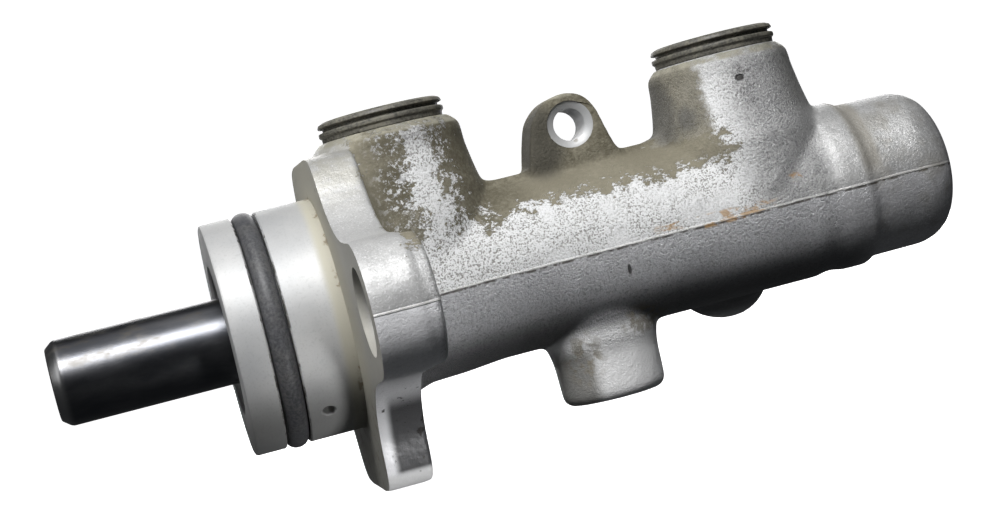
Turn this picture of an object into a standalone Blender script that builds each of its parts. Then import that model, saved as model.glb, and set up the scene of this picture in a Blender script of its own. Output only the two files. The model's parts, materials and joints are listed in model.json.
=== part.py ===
"""Tandem brake master cylinder with its reservoir grommets, for a brake booster.

The X axis is the bore: +X runs to the closed end, -X to the booster. +Z points up to the reservoir.
The origin is on the bore axis, in the flange's rear face. The pistons stand at rest, brakes off.
"""

import math

import bmesh
import bpy
from mathutils import Matrix, Vector

MM = 0.001

# Housing, in millimetres
BODY_R_REAR = 14.6
BODY_R = 14.0
END_CAP_R = 13.0
CLOSED_END_X = 104.8
SPIGOT_R = 19.0
SPIGOT_X = -18.1
BORE_R = 9.525
RELIEF_R = 10.3
BORE_END_X = 96.5
INSERT_R = 12.0
INSERT_END_X = 1.1

# Flange
FLANGE_WEB = 7.2
FLANGE_EAR = 10.0
STUD_Y = 42.4
STUD_HOLE_R = 6.5

# Reservoir ports, lug and brake outlets
PORT_X = (14.8, 71.9)
PORT_SOCKET_R = 9.5
PORT_TOP_Z = (26.3, 25.2)
PORT_TOP_R = (12.3, 11.9)
PORT_FLOOR_Z = 15.8
LUG_X, LUG_Z, LUG_HOLE_R = 44.2, 20.5, 2.65
LUG_HALF = 4.6
OUTLET_X = (41.6, 68.0)
OUTLET_TILT = (0.0, 60.0)
OUTLET_R = 8.4
OUTLET_END = (24.5, 22.0)
OUTLET_BORE_R = 4.55

# Seal grooves cut in the bore: first and last x of each
MAIN_GROOVES = {"primary_main_seal": (23.0, 26.4), "separating_seal": (50.2, 53.4),
                "secondary_main_seal": (59.2, 62.8)}
SEAL_GROOVE_R = 11.7

# Pistons
TAIL_R = 7.0
TAIL_END_X = -46.2
PISTON_R = 9.48
SKIRT_R = 6.9
SHOULDER_X = 1.2
PRIMARY_FRONT_X = 29.3
FLOATING_REAR_X = 40.6
FLOATING_FRONT_X = 70.5
SCREW_R = 1.5
WIRE_R = 0.9
COIL_R = 5.75

SEGMENTS = 24
HOUSING_SEGMENTS = 36


def material(name, colour, roughness, metallic):
    made = bpy.data.materials.new(name)
    made.use_nodes = True
    shader = made.node_tree.nodes["Principled BSDF"]
    shader.inputs["Base Color"].default_value = (*colour, 1.0)
    shader.inputs["Roughness"].default_value = roughness
    shader.inputs["Metallic"].default_value = metallic
    made.diffuse_color = (*colour, 1.0)
    return made


def place(obj, collection, look=None):
    """Links the object: a visible piece gets its material, and a cutter is hidden."""
    collection.objects.link(obj)
    if look:
        obj.data.materials.append(look)
    else:
        obj.hide_render = True
        obj.display_type = "WIRE"
    return obj


def turned(name, profile, collection, look=None, steps=SEGMENTS):
    """A closed profile of (height, radius) points in millimetres, turned about the object's Z axis."""
    area = sum(a[1] * b[0] - b[1] * a[0] for a, b in zip(profile, profile[1:] + profile[:1]))
    if area > 0:
        profile = profile[::-1]
    bm = bmesh.new()
    verts = [bm.verts.new((radius * MM, 0.0, height * MM)) for height, radius in profile]
    for here, there in zip(verts, verts[1:] + verts[:1]):
        if here.co.x > 0.0 or there.co.x > 0.0:
            bm.edges.new((here, there))
    mesh = bpy.data.meshes.new(name)
    bm.to_mesh(mesh)
    bm.free()
    obj = place(bpy.data.objects.new(name, mesh), collection, look)
    screw = obj.modifiers.new("turn", "SCREW")
    screw.axis = "Z"
    screw.steps = screw.render_steps = steps
    screw.use_merge_vertices = True
    screw.merge_threshold = 0.000001
    return obj


def along_bore(obj, y=0.0):
    """Turns the object's Z axis onto the bore's +X."""
    obj.rotation_euler = (0.0, math.radians(90.0), 0.0)
    obj.location = (0.0, y * MM, 0.0)
    return obj


def standing(obj, x, tilt=None):
    """Stands the object on the bore axis at x: upright, or downwards and leant towards +Y by tilt."""
    obj.location = (x * MM, 0.0, 0.0)
    if tilt is not None:
        obj.rotation_euler = (math.radians(180.0 + tilt), 0.0, 0.0)
    return obj


def drill(name, radius, start, end, segments=16):
    """A cutter from start to end, points in millimetres."""
    start, end = Vector(start) * MM, Vector(end) * MM
    bm = bmesh.new()
    bmesh.ops.create_cone(bm, cap_ends=True, segments=segments, radius1=radius * MM,
                          radius2=radius * MM, depth=(end - start).length)
    mesh = bpy.data.meshes.new(name)
    bm.to_mesh(mesh)
    bm.free()
    obj = place(bpy.data.objects.new(name, mesh), cutters)
    obj.location = (start + end) / 2
    obj.rotation_euler = (end - start).to_track_quat("Z", "Y").to_euler()
    return obj


def plate(name, outline, low, high, axis):
    """A cutter: an outline of (across, up) points in millimetres, from low to high along X or Y."""
    curve = bpy.data.curves.new(name, "CURVE")
    curve.dimensions = "2D"
    curve.fill_mode = "BOTH"
    curve.extrude = (high - low) / 2 * MM
    spline = curve.splines.new("POLY")
    spline.points.add(len(outline) - 1)
    for point, (across, height) in zip(spline.points, outline):
        point.co = (across * MM, height * MM, 0.0, 1.0)
    spline.use_cyclic_u = True
    middle = (high + low) / 2 * MM
    if axis == "X":
        turn = Matrix(((0, 0, 1, middle), (1, 0, 0, 0), (0, 1, 0, 0), (0, 0, 0, 1)))
    else:
        turn = Matrix(((1, 0, 0, 0), (0, 0, -1, middle), (0, 1, 0, 0), (0, 0, 0, 1)))
    obj = place(meshed(bpy.data.objects.new(name + "_outline", curve), name), cutters)
    obj.matrix_world = turn
    return obj


def meshed(guide, name):
    """A mesh object from a curve object, its caps welded. The curve is removed."""
    bpy.context.scene.collection.objects.link(guide)
    bpy.context.view_layer.update()
    graph = bpy.context.evaluated_depsgraph_get()
    mesh = bpy.data.meshes.new_from_object(guide.evaluated_get(graph))
    mesh.name = name
    bpy.data.objects.remove(guide)
    bm = bmesh.new()
    bm.from_mesh(mesh)
    bmesh.ops.remove_doubles(bm, verts=bm.verts, dist=1e-7)
    bmesh.ops.recalc_face_normals(bm, faces=bm.faces)
    bm.to_mesh(mesh)
    bm.free()
    return bpy.data.objects.new(name, mesh)


def arc(centre, radius, first, last, steps):
    """Points of an arc, angles in degrees."""
    points = []
    for step in range(steps + 1):
        angle = math.radians(first + (last - first) * step / steps)
        points.append((centre[0] + radius * math.cos(angle), centre[1] + radius * math.sin(angle)))
    return points


def combine(obj, others, operation, solver="EXACT"):
    """One Boolean on the object for each of the others."""
    for other in others:
        joined = obj.modifiers.new(other.name, "BOOLEAN")
        joined.operation = operation
        joined.solver = solver
        joined.object = other


def coil(name, first, last, turns, look):
    """A compression spring along the bore axis, with its end turns closed up."""
    curve = bpy.data.curves.new(name, "CURVE")
    curve.dimensions = "3D"
    curve.bevel_depth = WIRE_R * MM
    curve.bevel_resolution = 1
    curve.use_fill_caps = True
    per_turn = 12
    count = int(turns * per_turn)
    spline = curve.splines.new("POLY")
    spline.points.add(count)
    low, high = first + WIRE_R, last - WIRE_R
    closed = 2.15 * WIRE_R
    for step in range(count + 1):
        turn = step / per_turn
        if turn < 1.0:
            x = low + closed * turn
        elif turn > turns - 1.0:
            x = high - closed * (turns - turn)
        else:
            x = low + closed + (high - low - 2 * closed) * (turn - 1.0) / (turns - 2.0)
        angle = 2 * math.pi * turn
        spline.points[step].co = (
            x * MM, COIL_R * MM * math.cos(angle), COIL_R * MM * math.sin(angle), 1.0)
    return place(meshed(bpy.data.objects.new(name + "_path", curve), name), model, look)


def lip_seal(name, first, last, inner, outer, faces_front):
    """A cup-section ring: a heel with an inner and an outer lip that point one way."""
    width = last - first
    middle = (inner + outer) / 2
    lip = 0.28 * (outer - inner)
    heel, tip = (first, last) if faces_front else (last, first)
    way = 1.0 if faces_front else -1.0
    floor = heel + way * 0.45 * width
    profile = [(heel, inner + 0.15), (heel, outer - 0.2), (tip - way * 0.5, outer), (tip, outer - lip),
               (floor, middle + 0.25 * lip), (floor, middle - 0.25 * lip), (tip, inner + lip),
               (tip - way * 0.5, inner)]
    return along_bore(turned(name, profile, model, RUBBER))


def sleeve(name, flange_x, end_x):
    """Pressed sleeve that holds a spring's captive screw: flange, tube and closed-in end."""
    return along_bore(turned(name, [
        (flange_x, 3.6), (flange_x, 6.5), (flange_x - 1.1, 6.5), (flange_x - 1.1, 4.5), (end_x, 4.5),
        (end_x, 1.8), (end_x + 1.0, 1.8), (end_x + 1.0, 3.6)], model, PLATED, 32))


def captive_screw(name, root_x, head_x):
    """Shank from root_x with its head from head_x forward."""
    return along_bore(turned(name, [
        (root_x, 0.0), (root_x, SCREW_R), (head_x, SCREW_R), (head_x, 3.1), (head_x + 1.7, 3.1),
        (head_x + 2.2, 2.6), (head_x + 2.2, 1.3), (head_x + 1.2, 1.3), (head_x + 1.2, 0.0)],
        model, PLATED, 24))


def round_ring(name, x, radius, half_x, half_r, look, steps, sides):
    """An O-ring lying in a groove, its section an ellipse."""
    angles = [2 * math.pi * number / sides for number in range(sides)]
    return along_bore(turned(name, [
        (x + half_x * math.cos(angle), radius + half_r * math.sin(angle)) for angle in angles],
        model, look, steps))


# ---------------------------------------------------------------- scene and materials
for old in list(bpy.data.objects):
    bpy.data.objects.remove(old)

model = bpy.data.collections.new("brake_master_cylinder")
cutters = bpy.data.collections.new("cutters")
cutters.hide_render = True
for made in (model, cutters):
    bpy.context.scene.collection.children.link(made)

CAST = material("cast_aluminium", (0.56, 0.57, 0.57), 0.45, 0.9)
STEEL = material("polished_steel", (0.23, 0.23, 0.24), 0.22, 1.0)
ANODISED = material("anodised_aluminium", (0.44, 0.46, 0.45), 0.35, 0.9)
SPRING = material("spring_steel", (0.32, 0.32, 0.33), 0.35, 1.0)
PLATED = material("plated_steel", (0.55, 0.54, 0.48), 0.35, 1.0)
RUBBER = material("black_rubber", (0.03, 0.03, 0.03), 0.7, 0.0)
DUSTY = material("dusty_rubber", (0.12, 0.12, 0.105), 0.85, 0.0)
NYLON = material("black_nylon", (0.05, 0.05, 0.055), 0.5, 0.0)

# ---------------------------------------------------------------- cylinder body: the casting
body = along_bore(turned("cylinder_body", [
    (3.0, 0.0), (3.0, 18.6), (FLANGE_WEB, 17.6), (FLANGE_WEB + 2.4, 15.8),
    (FLANGE_WEB + 5.4, BODY_R_REAR), (18.0, BODY_R_REAR), (25.0, BODY_R), (79.5, BODY_R),
    (81.0, BODY_R - 0.35), (83.0, BODY_R - 0.35), (84.5, BODY_R), (88.2, BODY_R), (88.9, BODY_R - 0.7),
    (90.2, END_CAP_R), (99.2, END_CAP_R), (102.2, END_CAP_R - 1.1), (104.0, END_CAP_R - 3.2),
    (CLOSED_END_X, END_CAP_R - 6.0), (CLOSED_END_X, 0.0)], model, CAST, HOUSING_SEGMENTS))

near_half = [(-8.0, 24.9), (-15.4, 24.4)]
near_half += [(-18.4, 22.6), (-20.4, 19.2), (-23.2, 15.8), (-27.2, 12.6), (-33.5, 10.4)]
near_half += arc((-STUD_Y, 0.0), 10.3, 85.0, 275.0, 10)
near_half += [(-33.5, -11.0), (-27.4, -13.8), (-22.8, -17.2), (-19.6, -21.4), (-18.0, -26.0)]
near_half += [(-15.2, -28.6), (-8.0, -29.0)]
castings = [plate("flange_web", near_half + [(-y, z) for y, z in reversed(near_half)], 0.0, FLANGE_WEB, "X")]
for side, label in ((-1, "near"), (1, "far")):
    castings.append(along_bore(turned("ear_pad_" + label, [
        (2.0, 0.0), (2.0, 9.9), (FLANGE_EAR - 0.8, 9.7), (FLANGE_EAR, 9.0), (FLANGE_EAR, 0.0)],
        cutters, None, 32), side * STUD_Y))
castings.append(along_bore(turned("spigot", [
    (2.0, 0.0), (2.0, SPIGOT_R), (SPIGOT_X + 0.7, SPIGOT_R), (SPIGOT_X, SPIGOT_R - 0.7), (SPIGOT_X, 0.0)],
    cutters, None, 48)))
for label, x, top, width in zip(("primary", "secondary"), PORT_X, PORT_TOP_Z, PORT_TOP_R):
    castings.append(standing(turned(label + "_reservoir_boss", [
        (4.0, 0.0), (4.0, 14.2), (14.6, width + 1.5), (18.0, width + 0.7), (22.0, width + 0.1),
        (top - 1.4, width), (top, width - 1.2), (top, 0.0)], cutters, None, HOUSING_SEGMENTS), x))
for label, x, tilt, end in zip(("primary", "secondary"), OUTLET_X, OUTLET_TILT, OUTLET_END):
    castings.append(standing(turned(label + "_outlet_boss", [
        (4.0, 0.0), (4.0, OUTLET_R + 1.6), (14.0, OUTLET_R + 1.0), (17.0, OUTLET_R + 0.1),
        (end - 1.8, OUTLET_R - 0.1), (end - 0.5, OUTLET_R - 0.8), (end, OUTLET_R - 2.0), (end, 0.0)],
        cutters), x, tilt))
lug_outline = [(35.4, 9.0), (36.8, 14.0), (37.5, 18.0), (38.8, 22.4)]
lug_outline += arc((LUG_X, LUG_Z), 5.1, 150.0, 30.0, 8)
lug_outline += [(49.6, 19.0), (50.4, 14.5), (51.4, 9.0)]
castings.append(plate("reservoir_lug", lug_outline, -LUG_HALF, LUG_HALF, "Y"))
castings.append(plate("top_rib", [
    (20.0, 9.0), (22.0, 16.0), (34.0, 14.6), (54.0, 14.6), (64.0, 16.0), (66.0, 9.0)], -3.4, 3.4, "Y"))
combine(body, castings, "UNION", "MANIFOLD")

# ---------------------------------------------------------------- cylinder body: machining
bore = [(SPIGOT_X - 1.0, 0.0), (SPIGOT_X - 1.0, 13.3), (SPIGOT_X + 0.4, INSERT_R), (-16.3, INSERT_R),
        (-16.3, 13.0), (-14.9, 13.0), (-14.9, INSERT_R), (INSERT_END_X, INSERT_R), (INSERT_END_X, BORE_R),
        (7.0, BORE_R), (7.6, RELIEF_R), (21.3, RELIEF_R), (21.9, BORE_R)]
for name, (relief_start, relief_end) in zip(MAIN_GROOVES, ((27.5, 48.4), (54.6, 57.8), (64.6, 92.0))):
    low, high = MAIN_GROOVES[name]
    bore += [(low, BORE_R), (low, SEAL_GROOVE_R), (high, SEAL_GROOVE_R), (high, BORE_R)]
    bore += [(relief_start, BORE_R), (relief_start + 0.4, RELIEF_R)]
    bore += [(relief_end - 0.4, RELIEF_R), (relief_end, BORE_R)]
bore += [(BORE_END_X, BORE_R), (BORE_END_X, 0.0)]
cuts = [along_bore(turned("bore", bore, cutters))]
cuts.append(along_bore(turned("o_ring_groove", [
    (-13.0, 16.4), (-13.0, SPIGOT_R + 2.0), (-9.1, SPIGOT_R + 2.0), (-9.1, 16.4)], cutters, None, 48)))
weep_x = Vector((-5.9, 0.0, 0.0))
weep = Vector((0.0, -12.6, -14.2)).normalized()
cuts.append(drill("weep_hole", 1.0, weep_x + weep * 11.0, weep_x + weep * 21.0, 12))
for side, label in ((-1, "near"), (1, "far")):
    cuts.append(drill("stud_hole_" + label, STUD_HOLE_R, (-2.0, side * STUD_Y, 0.0),
                      (FLANGE_EAR + 2.0, side * STUD_Y, 0.0), 32))
for label, x, top in zip(("primary", "secondary"), PORT_X, PORT_TOP_Z):
    cuts.append(standing(turned(label + "_reservoir_socket", [
        (PORT_FLOOR_Z, 0.0), (PORT_FLOOR_Z, PORT_SOCKET_R), (top - 0.5, PORT_SOCKET_R),
        (top + 0.6, PORT_SOCKET_R + 1.1), (top + 0.6, 0.0)], cutters), x))
cuts.append(drill("primary_feed", 2.4, (12.4, 0.0, 9.6), (12.4, 0.0, 17.0)))
cuts.append(drill("secondary_feed", 1.3, (56.3, 0.0, 9.9), (66.6, 0.0, 16.7), 12))
for label, x, tilt, end in zip(("primary", "secondary"), OUTLET_X, OUTLET_TILT, OUTLET_END):
    cuts.append(standing(turned(label + "_outlet_port", [
        (8.6, 0.0), (8.6, 1.4), (15.2, 1.4), (13.6, 3.0), (13.6, OUTLET_BORE_R), (end - 0.9, OUTLET_BORE_R),
        (end + 0.3, OUTLET_BORE_R + 1.2), (end + 0.3, 0.0)], cutters, None, 24), x, tilt))
cuts.append(drill("lug_hole", LUG_HOLE_R, (LUG_X, -LUG_HALF - 1.0, LUG_Z), (LUG_X, LUG_HALF + 1.0, LUG_Z), 24))
combine(body, cuts, "DIFFERENCE", "MANIFOLD")

# ---------------------------------------------------------------- fixed pieces in the housing
round_ring("flange_o_ring", -11.05, 17.95, 1.8, 1.45, RUBBER, 48, 8)

for label, x, top in zip(("primary_grommet", "secondary_grommet"), PORT_X, PORT_TOP_Z):
    standing(turned(label, [
        (16.2, 5.6), (16.2, 8.6), (17.4, 9.2), (top + 0.3, 9.2), (top + 0.3, 10.2), (top + 1.2, 10.2),
        (top + 1.5, 10.7), (top + 2.3, 10.7), (top + 2.5, 10.1), (top + 2.9, 10.1), (top + 3.1, 10.4),
        (top + 3.7, 10.1), (top + 4.0, 9.5), (top + 4.0, 7.5), (top + 2.2, 5.6)], model, DUSTY, 28), x)

ring = along_bore(turned("retaining_ring", [
    (-16.1, 10.9), (-16.1, 12.8), (-15.1, 12.8), (-15.1, 10.9)], model, PLATED, 36))
combine(ring, [along_bore(turned("ring_ear_%s" % label, [
    (-16.1, 0.0), (-16.1, 1.7), (-15.1, 1.7), (-15.1, 0.0)], cutters, None, 16), side * 2.9)
    for side, label in ((-1, "near"), (1, "far"))], "UNION")
for ear in ring.modifiers[1:]:
    ear.object.location.z = -10.6 * MM
combine(ring, [plate("ring_gap", [(-1.1, -14.0), (1.1, -14.0), (1.1, -8.0), (-1.1, -8.0)], -17.0, -14.2, "X")]
        + [drill("ring_eye_%s" % label, 0.8, (-17.0, side * 2.9, -10.6), (-14.2, side * 2.9, -10.6), 12)
           for side, label in ((-1, "near"), (1, "far"))], "DIFFERENCE")

along_bore(turned("stop_washer", [
    (-14.6, 7.6), (-14.6, 11.7), (-13.4, 11.7), (-13.4, 7.6)], model, PLATED, 40))
guide = along_bore(turned("guide_bush", [
    (-13.1, 9.8), (-13.1, 11.8), (-4.9, 11.8), (-4.9, 10.3), (-3.1, 10.3), (-3.1, 11.8), (0.8, 11.8),
    (0.8, 9.8), (-2.8, 9.8), (-2.8, 7.05), (-5.0, 7.05), (-5.0, 8.2), (-6.8, 8.2), (-6.8, 7.05),
    (-9.9, 7.05), (-9.9, 9.8)], model, NYLON))
combine(guide, [drill("bush_weep", 0.75, weep_x + weep * 7.6, weep_x + weep * 12.6, 12)], "DIFFERENCE")
round_ring("bush_o_ring", -4.0, 11.14, 0.78, 0.78, RUBBER, 32, 6)
lip_seal("vacuum_seal", -12.9, -10.2, 7.05, 9.65, False)
lip_seal("rod_seal", -2.5, 0.6, 7.05, 9.65, True)
for label, (low, high) in MAIN_GROOVES.items():
    lip_seal(label, low + 0.2, high - 0.2, BORE_R, 11.55, True)

# ---------------------------------------------------------------- primary piston and its spring
primary = along_bore(turned("primary_piston", [
    (-26.0, 0.0), (-24.0, 4.6), (TAIL_END_X + 0.6, 4.6), (TAIL_END_X, 5.2), (TAIL_END_X, TAIL_R - 1.0),
    (TAIL_END_X + 1.4, TAIL_R), (SHOULDER_X, TAIL_R), (SHOULDER_X, PISTON_R - 0.6),
    (SHOULDER_X + 0.6, PISTON_R), (PRIMARY_FRONT_X - 0.6, PISTON_R), (PRIMARY_FRONT_X, PISTON_R - 0.6),
    (PRIMARY_FRONT_X, SKIRT_R + 0.4), (PRIMARY_FRONT_X - 0.6, SKIRT_R), (8.3, SKIRT_R), (8.3, 1.8),
    (4.3, 1.8), (4.3, 0.0)], model, STEEL))
combine(primary, [drill("primary_skirt_holes_y", 0.7, (21.0, -12.0, 0.0), (21.0, 12.0, 0.0), 10),
                  drill("primary_skirt_holes_z", 0.7, (21.0, 0.0, -12.0), (21.0, 0.0, 12.0), 10)],
        "DIFFERENCE")
captive_screw("primary_spring_screw", 4.6, 28.9)
coil("primary_spring", 8.6, 44.9, 8.5, SPRING)

# ---------------------------------------------------------------- floating piston and its spring
floating = along_bore(turned("floating_piston", [
    (46.6, 0.0), (46.6, SKIRT_R), (FLOATING_REAR_X + 0.5, SKIRT_R), (FLOATING_REAR_X, SKIRT_R + 0.5),
    (FLOATING_REAR_X, PISTON_R - 0.6), (FLOATING_REAR_X + 0.6, PISTON_R), (FLOATING_FRONT_X - 0.6, PISTON_R),
    (FLOATING_FRONT_X, PISTON_R - 0.6), (FLOATING_FRONT_X, SKIRT_R + 0.4), (FLOATING_FRONT_X - 0.6, SKIRT_R),
    (54.6, SKIRT_R), (54.6, 1.8), (50.6, 1.8), (50.6, 0.0)], model, ANODISED))
combine(floating, [drill("floating_skirt_holes_y", 0.7, (57.0, -12.0, 0.0), (57.0, 12.0, 0.0), 10),
                   drill("floating_skirt_holes_z", 0.7, (57.0, 0.0, -12.0), (57.0, 0.0, 12.0), 10)],
        "DIFFERENCE")
sleeve("primary_spring_sleeve", 46.3, 27.6)
captive_screw("secondary_spring_screw", 50.9, 71.4)
sleeve("secondary_spring_sleeve", 96.2, 70.1)
coil("secondary_spring", 54.9, 94.8, 8.5, SPRING)
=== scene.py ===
"""Tandem brake master cylinder: the fine surfaces, materials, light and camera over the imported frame."""
import json
import math

import bmesh
import bpy
import numpy as np
from mathutils import Matrix, Vector


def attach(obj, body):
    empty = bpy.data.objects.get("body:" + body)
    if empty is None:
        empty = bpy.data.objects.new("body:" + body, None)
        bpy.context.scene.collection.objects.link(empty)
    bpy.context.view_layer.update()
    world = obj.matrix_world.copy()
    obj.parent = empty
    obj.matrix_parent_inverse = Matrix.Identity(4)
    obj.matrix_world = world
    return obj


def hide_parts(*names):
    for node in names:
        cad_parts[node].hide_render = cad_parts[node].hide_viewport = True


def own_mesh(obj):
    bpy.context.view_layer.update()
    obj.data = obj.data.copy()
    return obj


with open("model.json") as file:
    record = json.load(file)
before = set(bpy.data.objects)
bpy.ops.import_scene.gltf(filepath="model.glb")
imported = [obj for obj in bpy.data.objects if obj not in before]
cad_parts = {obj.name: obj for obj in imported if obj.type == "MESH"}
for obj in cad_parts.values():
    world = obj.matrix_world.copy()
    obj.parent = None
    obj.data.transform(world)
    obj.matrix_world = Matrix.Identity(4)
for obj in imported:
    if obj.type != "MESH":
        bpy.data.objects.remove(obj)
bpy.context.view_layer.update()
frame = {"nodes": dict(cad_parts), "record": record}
MM = 0.001

# ================================================================ camera
camera = bpy.data.objects.new("camera", bpy.data.cameras.new("camera"))
bpy.context.scene.collection.objects.link(camera)
camera.data.sensor_width = 36.0
camera.data.lens = 81.354
camera.data.shift_x = -0.00168
camera.data.shift_y = -0.01255
camera.data.clip_start = 0.01
right = Vector((0.95479, -0.16923, -0.24442))
up = Vector((0.24249, -0.03232, 0.96962))
back = right.cross(up)
camera.matrix_world = Matrix.Translation((-0.034509, -0.364691, 0.007868)) @ Matrix(
    (right, up, back)).transposed().to_4x4()
bpy.context.scene.camera = camera


# ================================================================ shader helpers
class Look:
    """A Principled material with short names for the nodes it uses. Distances are in millimetres."""

    RANGE = ("From Min", "From Max", "To Min", "To Max")

    def __init__(self, name, colour, roughness, metallic=0.0, specular=0.5):
        self.made = bpy.data.materials.new(name)
        self.made.use_nodes = True
        self.tree = self.made.node_tree
        self.shader = self.tree.nodes["Principled BSDF"]
        self.shader.inputs["Base Color"].default_value = (*colour, 1.0)
        self.shader.inputs["Roughness"].default_value = roughness
        self.shader.inputs["Metallic"].default_value = metallic
        self.shader.inputs["Specular IOR Level"].default_value = specular
        coordinates = self.tree.nodes.new("ShaderNodeTexCoord")
        scale = self.tree.nodes.new("ShaderNodeVectorMath")
        scale.operation = "SCALE"
        scale.inputs["Scale"].default_value = 1000.0
        self.tree.links.new(coordinates.outputs["Object"], scale.inputs[0])
        self.place = scale.outputs[0]
        split = self.tree.nodes.new("ShaderNodeSeparateXYZ")
        self.tree.links.new(self.place, split.inputs[0])
        self.x, self.y, self.z = split.outputs

    def join(self, value, socket):
        if isinstance(value, bpy.types.NodeSocket):
            self.tree.links.new(value, socket)
        elif isinstance(value, tuple) and len(value) == 3 and socket.type == "RGBA":
            socket.default_value = (*value, 1.0)
        else:
            socket.default_value = value

    def math(self, operation, a, b=0.0, c=0.0):
        node = self.tree.nodes.new("ShaderNodeMath")
        node.operation = operation
        for value, socket in zip((a, b, c), node.inputs):
            self.join(value, socket)
        return node.outputs[0]

    def add(self, *values):
        total = values[0]
        for value in values[1:]:
            total = self.math("ADD", total, value)
        return total

    def times(self, *values):
        total = values[0]
        for value in values[1:]:
            total = self.math("MULTIPLY", total, value)
        return total

    def minus(self, a, b):
        return self.math("SUBTRACT", a, b)

    def least(self, *values):
        total = values[0]
        for value in values[1:]:
            total = self.math("MINIMUM", total, value)
        return total

    def side(self, value, edge, width):
        """Minus one to one as value crosses edge, over width each way. A negative width turns it round."""
        node = self.tree.nodes.new("ShaderNodeMapRange")
        low, high = edge - width, edge + width
        limits = (low, high, -1.0, 1.0) if low < high else (high, low, 1.0, -1.0)
        for socket, number in zip(self.RANGE, limits):
            node.inputs[socket].default_value = number
        self.join(value, node.inputs["Value"])
        return node.outputs["Result"]

    def most(self, *values):
        total = values[0]
        for value in values[1:]:
            total = self.math("MAXIMUM", total, value)
        return total

    def ramp(self, value, low, high, to_low=0.0, to_high=1.0):
        """Smooth step of value from low to high, either way round."""
        node = self.tree.nodes.new("ShaderNodeMapRange")
        node.interpolation_type = "SMOOTHSTEP"
        if low > high:
            low, high, to_low, to_high = high, low, to_high, to_low
        limits = (low, high, to_low, to_high)
        for socket, number in zip(self.RANGE, limits):
            node.inputs[socket].default_value = number
        self.join(value, node.inputs["Value"])
        return node.outputs["Result"]

    def band(self, value, low, high, soft):
        """One inside low to high, falling to zero over soft."""
        return self.times(self.ramp(value, low - soft, low), self.ramp(value, high + soft, high))

    def noise(self, scale, detail=4.0, rough=0.55, stretch=None, offset=0.0, distortion=0.0):
        """Noise with scale features in each millimetre."""
        place = self.place
        if stretch or offset:
            node = self.tree.nodes.new("ShaderNodeMapping")
            node.inputs["Scale"].default_value = stretch or (1.0, 1.0, 1.0)
            node.inputs["Location"].default_value = (offset, offset * 1.7, offset * 0.6)
            self.tree.links.new(place, node.inputs["Vector"])
            place = node.outputs[0]
        node = self.tree.nodes.new("ShaderNodeTexNoise")
        node.inputs["Scale"].default_value = scale
        node.inputs["Detail"].default_value = detail
        node.inputs["Roughness"].default_value = rough
        node.inputs["Distortion"].default_value = distortion
        self.tree.links.new(place, node.inputs["Vector"])
        return node.outputs["Fac"]

    def cells(self, scale, smooth=0.3, offset=0.0):
        node = self.tree.nodes.new("ShaderNodeTexVoronoi")
        node.feature = "SMOOTH_F1"
        node.inputs["Scale"].default_value = scale
        node.inputs["Smoothness"].default_value = smooth
        shift = self.tree.nodes.new("ShaderNodeVectorMath")
        shift.inputs[1].default_value = (offset, offset, offset)
        self.tree.links.new(self.place, shift.inputs[0])
        self.tree.links.new(shift.outputs[0], node.inputs["Vector"])
        return node.outputs["Distance"]

    def mix(self, amount, a, b):
        node = self.tree.nodes.new("ShaderNodeMix")
        node.data_type = "RGBA"
        self.join(amount, node.inputs["Factor"])
        self.join(a, node.inputs[6])
        self.join(b, node.inputs[7])
        return node.outputs[2]

    def blend(self, amount, a, b):
        node = self.tree.nodes.new("ShaderNodeMix")
        self.join(amount, node.inputs["Factor"])
        self.join(a, node.inputs[2])
        self.join(b, node.inputs[3])
        return node.outputs[0]

    def reach(self, centre, size):
        """Distance from centre in units of size, along each axis: an ellipsoid's reach."""
        shift = self.tree.nodes.new("ShaderNodeVectorMath")
        shift.operation = "SUBTRACT"
        shift.inputs[1].default_value = centre
        self.tree.links.new(self.place, shift.inputs[0])
        scale = self.tree.nodes.new("ShaderNodeVectorMath")
        scale.operation = "DIVIDE"
        scale.inputs[1].default_value = size
        self.tree.links.new(shift.outputs[0], scale.inputs[0])
        length = self.tree.nodes.new("ShaderNodeVectorMath")
        length.operation = "LENGTH"
        self.tree.links.new(scale.outputs[0], length.inputs[0])
        return length.outputs["Value"]

    def bump(self, height, depth_mm, strength=1.0):
        """Raises the surface by height times depth_mm."""
        node = self.tree.nodes.new("ShaderNodeBump")
        node.inputs["Strength"].default_value = strength
        node.inputs["Distance"].default_value = depth_mm * MM
        self.join(height, node.inputs["Height"])
        before = self.shader.inputs["Normal"].links
        if before:
            self.tree.links.new(before[0].from_socket, node.inputs["Normal"])
        self.tree.links.new(node.outputs[0], self.shader.inputs["Normal"])

    def set(self, **sockets):
        for name, value in sockets.items():
            self.join(value, self.shader.inputs[name.replace("_", " ")])
        return self.made


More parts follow.
